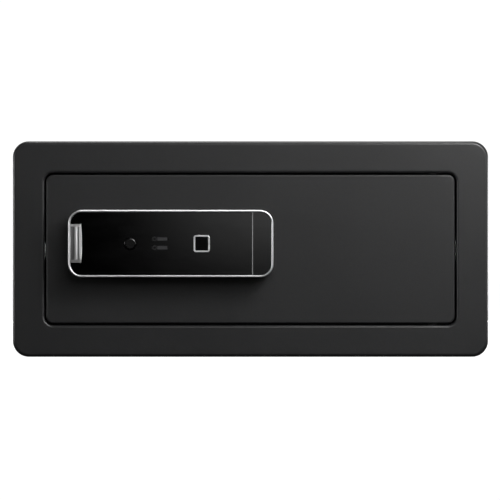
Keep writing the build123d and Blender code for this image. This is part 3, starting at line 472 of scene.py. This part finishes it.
class MatOutline:
    """Rounded rectangle with four round holes, as the CAD mat has them."""

    def __init__(self):
        source = nodes["floor_mat"]
        low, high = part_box("floor_mat")
        self.low, self.high = np.array(low), np.array(high)
        self.middle = (self.low[:2] + self.high[:2]) / 2
        self.half = (self.high[:2] - self.low[:2]) / 2
        points = np.array([(source.matrix_world @ v.co)[:2] for v in source.data.vertices]) - self.middle
        inner = points[np.all(np.abs(points) < self.half - MAT_BORDER, axis=1)]
        self.holes = []
        for quadrant in ((-1, -1), (-1, 1), (1, -1), (1, 1)):
            ring = inner[np.all(inner * quadrant > 0, axis=1)]
            centre = (ring.min(axis=0) + ring.max(axis=0)) / 2
            self.holes.append((centre, float(np.linalg.norm(ring - centre, axis=1).max())))

    def distance(self, p):
        """How far each point is outside the outline; negative inside it."""
        q = np.abs(p) - (self.half - MAT_CORNER)
        d = np.linalg.norm(np.maximum(q, 0), axis=1) + np.minimum(q.max(axis=1), 0) - MAT_CORNER
        for centre, radius in self.holes:
            d = np.maximum(d, radius - np.linalg.norm(p - centre, axis=1))
        return d

    def outward(self, p):
        """The direction that leads straight out of the outline, at each point."""
        e = 1e-5
        steps = ((e, 0), (0, e))
        grad = np.stack([self.distance(p + step) - self.distance(p - step) for step in steps], axis=1)
        return grad / np.maximum(np.linalg.norm(grad, axis=1, keepdims=True), 1e-9)


def uneven(p, rng, count, longest, shortest):
    """A smooth height between about -1 and 1, from waves in random directions."""
    total = np.zeros(len(p))
    for _ in range(count):
        angle = rng.uniform(0, 2 * math.pi)
        along = p @ np.array([math.cos(angle), math.sin(angle)])
        total += np.sin(2 * math.pi * along / rng.uniform(shortest, longest) + rng.uniform(0, 6.3))
    return total / count


def mat_mesh(outline, rng):
    """A closed slab of square faces whose rim is drawn on to the outline and rounded over."""
    half = outline.half - MAT_EDGE
    xs, ys = (np.linspace(-h, h, int(round(2 * h / MAT_STEP)) + 1) for h in half)
    p = np.stack(np.meshgrid(xs, ys, indexing="ij"), axis=-1).reshape(-1, 2)
    i, j = np.meshgrid(np.arange(len(xs) - 1), np.arange(len(ys) - 1), indexing="ij")
    first = (i * len(ys) + j).ravel()
    quads = np.stack([first, first + len(ys), first + len(ys) + 1, first + 1], axis=1)
    quads = quads[outline.distance(p[quads].mean(axis=1)) < -MAT_EDGE]
    used, quads = np.unique(quads, return_inverse=True)
    p, quads = p[used], quads.reshape(-1, 4)

    sides = {(a, b) for quad in quads.tolist() for a, b in zip(quad, quad[1:] + quad[:1])}
    border = [(a, b) for a, b in sorted(sides) if (b, a) not in sides]
    rim = np.array(sorted({a for side in border for a in side}))
    for _ in range(3):
        p[rim] -= outline.outward(p[rim]) * (outline.distance(p[rim]) + MAT_EDGE)[:, None]

    floor = outline.low[2]
    waves = MAT_WAVES * uneven(p, rng, 9, 0.16, 0.03)
    z = outline.high[2] - MAT_LOW + waves + MAT_GRAIN * rng.standard_normal(len(p))
    layers = [np.column_stack([p, z])]
    out = outline.outward(p[rim])
    for angle in (30, 60, 90):
        reach, drop = math.sin(math.radians(angle)), 1 - math.cos(math.radians(angle))
        layers.append(np.column_stack([p[rim] + out * MAT_EDGE * reach, z[rim] - MAT_EDGE * drop]))
    layers.append(np.column_stack([p[rim] + out * MAT_EDGE, np.full(len(rim), floor)]))
    layers.append(np.column_stack([p, np.full(len(p), floor)]))

    starts = np.cumsum([0] + [len(layer) for layer in layers])
    place = {int(v): k for k, v in enumerate(rim)}

    def row(layer, vertex):
        whole = layer in (0, len(layers) - 1)
        return int(starts[layer]) + (vertex if whole else place[vertex])

    faces = quads.tolist()
    faces += [[int(starts[-2]) + v for v in reversed(quad)] for quad in quads.tolist()]
    for a, b in border:
        for layer in range(len(layers) - 1):
            faces.append([row(layer, b), row(layer, a), row(layer + 1, a), row(layer + 1, b)])
    return np.concatenate(layers), faces


def fluff_mesh(outline, rng, count):
    """Loose fibres that lie on the felt, each a thin bent strand."""
    verts, faces = [], []
    while len(verts) < count * 12:
        start = rng.uniform(-outline.half, outline.half)
        turn = rng.uniform(0, 2 * math.pi)
        bend = rng.uniform(-1.3, 1.3)
        step = rng.uniform(0.0009, 0.0017)
        base = outline.high[2] - rng.uniform(0.0002, 0.0006)
        spine = [start]
        for k in range(3):
            heading = turn + bend * k
            spine.append(spine[-1] + step * np.array([math.cos(heading), math.sin(heading)]))
        if outline.distance(np.array(spine)).max() > -0.0008:
            continue
        index = len(verts)
        for k, point in enumerate(spine):
            height = base + FIBRE_ARCH[k]
            across = np.array([-math.sin(turn + bend * k), math.cos(turn + bend * k)]) * FIBRE_HALF
            verts += [(*(point - across), height), (*(point + across), height), (*point, height + 0.0001)]
        for k in range(3):
            for side in range(3):
                near, far = index + 3 * k + side, index + 3 * k + (side + 1) % 3
                faces.append([near, far, far + 3, near + 3])
    return np.array(verts), faces


def lay_mat():
    """Cut needle felt in the CAD mat's place, with an uneven top, rounded edges, holes and loose fibres."""
    rng = np.random.default_rng(7)
    outline = MatOutline()
    felt = carpet("carpet_felt")
    shapes = {"carpet_mat": mat_mesh(outline, rng), "carpet_fluff": fluff_mesh(outline, rng, FIBRES)}
    for name, (verts, faces) in shapes.items():
        mesh = bpy.data.meshes.new(name)
        mesh.from_pydata((verts + [*outline.middle, 0]).tolist(), [], faces)
        mesh.materials.append(felt)
        mesh.polygons.foreach_set("use_smooth", [True] * len(mesh.polygons))
        piece = bpy.data.objects.new(name, mesh)
        bpy.context.scene.collection.objects.link(piece)
        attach(piece, "cabinet")
    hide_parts("floor_mat")


lay_mat()


# ---- floor, light and camera ------------------------------------------------------------------------
def pale_floor():
    """A white floor just under the object. It glows, so that it is as white as the world behind it."""
    mesh = bpy.data.meshes.new("floor")
    half = 12.0
    corners = [(-half, -half, 0), (half, -half, 0), (half, half, 0), (-half, half, 0)]
    mesh.from_pydata(corners, [], [(0, 1, 2, 3)])
    floor = bpy.data.objects.new("floor", mesh)
    bpy.context.scene.collection.objects.link(floor)
    floor.location.z = -0.0002
    s = Surface("floor_white", 0.9, Specular_IOR_Level=0.0, Base_Color=(0.45, 0.45, 0.45, 1),
                Emission_Color=(1, 1, 1, 1), Emission_Strength=0.985)
    mesh.materials.append(s.material)
    floor.visible_glossy = False
    floor.visible_diffuse = False


def area_light(name, place, aim, size, power, size_y=None):
    """A lamp that the camera doesn't see, square unless its other side is given."""
    data = bpy.data.lights.new(name, "AREA")
    data.shape = "RECTANGLE"
    data.size = size
    data.size_y = size_y or size
    data.energy = power
    lamp = bpy.data.objects.new(name, data)
    bpy.context.scene.collection.objects.link(lamp)
    lamp.location = place
    lamp.visible_camera = False
    lamp.rotation_euler = (Vector(aim) - Vector(place)).to_track_quat("-Z", "Y").to_euler()


def studio_world():
    """White to look at. As a light it is a dim room, darkest far out in front of the object, with one small
    soft box there that the panel's glossy face reflects.
    """
    world = bpy.data.worlds.new("studio")
    bpy.context.scene.world = world
    world.use_nodes = True
    tree = world.node_tree
    tree.nodes.clear()

    def node(kind, **settings):
        made = tree.nodes.new(kind)
        for key, value in settings.items():
            setattr(made, key, value)
        return made

    coordinate = node("ShaderNodeTexCoord")
    split = node("ShaderNodeSeparateXYZ")
    tree.links.new(coordinate.outputs["Generated"], split.inputs[0])

    def level(axis, source, result):
        made = node("ShaderNodeMapRange", interpolation_type="SMOOTHSTEP")
        for socket, value in zip(("From Min", "From Max", "To Min", "To Max"), (*source, *result)):
            made.inputs[socket].default_value = value
        tree.links.new(split.outputs[axis], made.inputs["Value"])
        return made.outputs["Result"]

    def product(first, second):
        made = node("ShaderNodeMath", operation="MULTIPLY")
        tree.links.new(first, made.inputs[0])
        tree.links.new(second, made.inputs[1])
        return made.outputs["Value"]

    ahead = level("Y", (-0.98, -0.35), (0.005, 0.18))
    above = level("Z", (0.45, 0.95), (1.0, 0.25))
    behind = level("Y", (-0.1, 0.5), (1.0, 0.3))
    below = level("Z", (-0.6, 0.4), (0.15, 1.0))
    dim = product(product(product(ahead, behind), above), below)
    left_end = level("X", (-0.027, 0.008), (0.0, 1.0))
    right_end = level("X", (0.02, 0.07), (1.0, 0.0))
    bottom_end = level("Z", (-0.0095, 0.0115), (0.0, 1.0))
    top_end = level("Z", (0.02, 0.06), (1.0, 0.0))
    facing = level("Y", (-0.95, -0.85), (1.6, 0.0))
    softbox = product(product(product(left_end, right_end), product(bottom_end, top_end)), facing)
    room = node("ShaderNodeBackground")
    total = node("ShaderNodeMath", operation="ADD")
    tree.links.new(dim, total.inputs[0])
    tree.links.new(softbox, total.inputs[1])
    tree.links.new(total.outputs["Value"], room.inputs["Strength"])
    white = node("ShaderNodeBackground")
    white.inputs["Strength"].default_value = 1.3
    path = node("ShaderNodeLightPath")
    mixed = node("ShaderNodeMixShader")
    tree.links.new(path.outputs["Is Camera Ray"], mixed.inputs["Fac"])
    tree.links.new(room.outputs[0], mixed.inputs[1])
    tree.links.new(white.outputs[0], mixed.inputs[2])
    tree.links.new(mixed.outputs[0], node("ShaderNodeOutputWorld").inputs["Surface"])


def camera():
    """A long lens straight in front of the object, so that there is almost no perspective."""
    data = bpy.data.cameras.new("camera")
    data.lens = 400.0
    data.sensor_width = 36.0
    data.clip_start = 0.1
    data.clip_end = 60.0
    eye = bpy.data.objects.new("camera", data)
    bpy.context.scene.collection.objects.link(eye)
    seen_width = 0.4521
    eye.location = (-0.00044, FRONT_Y - seen_width * data.lens / data.sensor_width, MID_Z - 0.00085)
    eye.rotation_euler = (math.radians(90), 0, 0)
    bpy.context.scene.camera = eye


pale_floor()
studio_world()

FRONT = (0.0, -0.17, 0.10)    # what most lights aim at: the middle of the front
TOP_RIGHT = (0.17, -0.17, 0.17)
MIDDLE = (0.0, 0.0, 0.10)
area_light("key", (0.72, -1.80, 1.32), FRONT, 0.60, 11.5)
area_light("front", (0.35, -2.40, 0.85), FRONT, 0.90, 6.4)
area_light("accent", (0.40, -0.80, 0.48), TOP_RIGHT, 0.24, 2.2)
area_light("corner", (0.30, -0.60, 0.40), TOP_RIGHT, 0.20, 0.6)
area_light("side_left", (-1.7, -1.05, 0.30), FRONT, 0.50, 5.5)
area_light("side_right", (1.4, -1.15, 0.35), FRONT, 0.60, 3.4)
area_light("top", (0.1, -0.30, 1.60), (0.0, -0.10, 0.10), 0.80, 3)
area_light("top_back", (0.0, 0.25, 1.80), (0.0, 0.05, 0.10), 0.90, 12)
area_light("fill_left", (-1.7, 1.10, 0.12), MIDDLE, 0.90, 5, 0.2)
area_light("fill_right", (1.7, 0.90, 0.12), MIDDLE, 0.90, 6, 0.2)
area_light("back", (0.0, 2.40, 0.12), (0.0, 0.10, 0.10), 2.00, 20, 0.2)
camera()

scene = bpy.context.scene
scene.view_settings.view_transform = "Standard"
scene.view_settings.look = "None"
